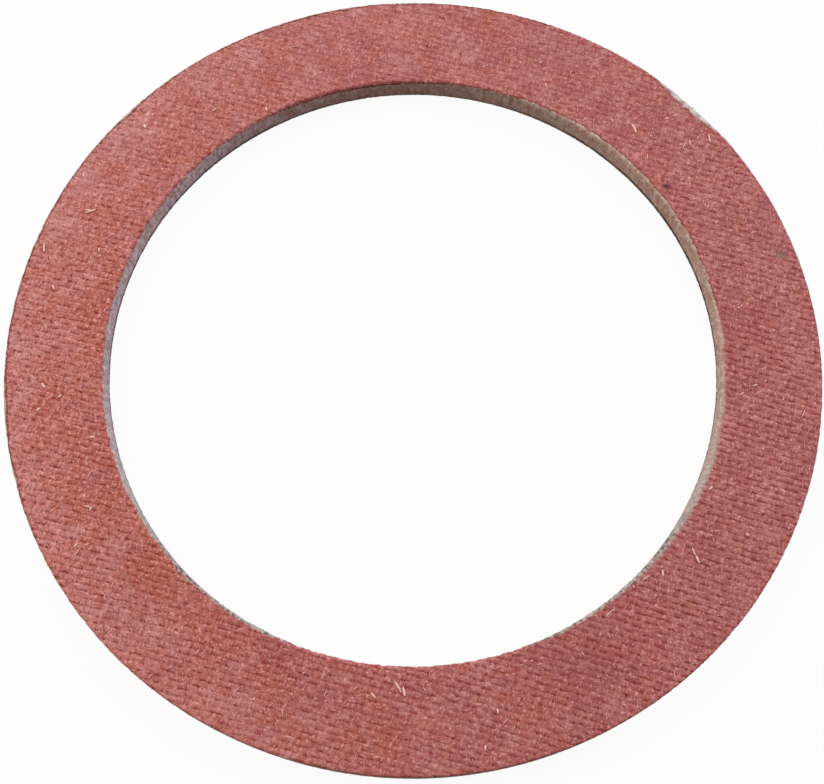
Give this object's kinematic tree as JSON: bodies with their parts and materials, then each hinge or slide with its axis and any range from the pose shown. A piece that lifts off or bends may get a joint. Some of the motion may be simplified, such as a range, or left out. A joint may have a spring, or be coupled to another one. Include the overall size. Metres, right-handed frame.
{
  "type": "fibre gasket",
  "caption": "Flat die-cut ring of red pressed fibre with a cloth-marked face, clamped between flanges to seal a round joint.",
  "frame": {"origin": "centre of the lower face, on the axis of the bore", "axes": "+Z along the bore axis, out of the upper, cloth-marked face; the flake on the rim lies between +X and +Y"},
  "size_m": [0.075, 0.075, 0.0025],
  "materials": {
    "red_fibre": "matt, marked by the press cloth"
  },
  "bodies": {
    "root": {"gasket_ring": "red_fibre"}
  },
  "joints": []
}
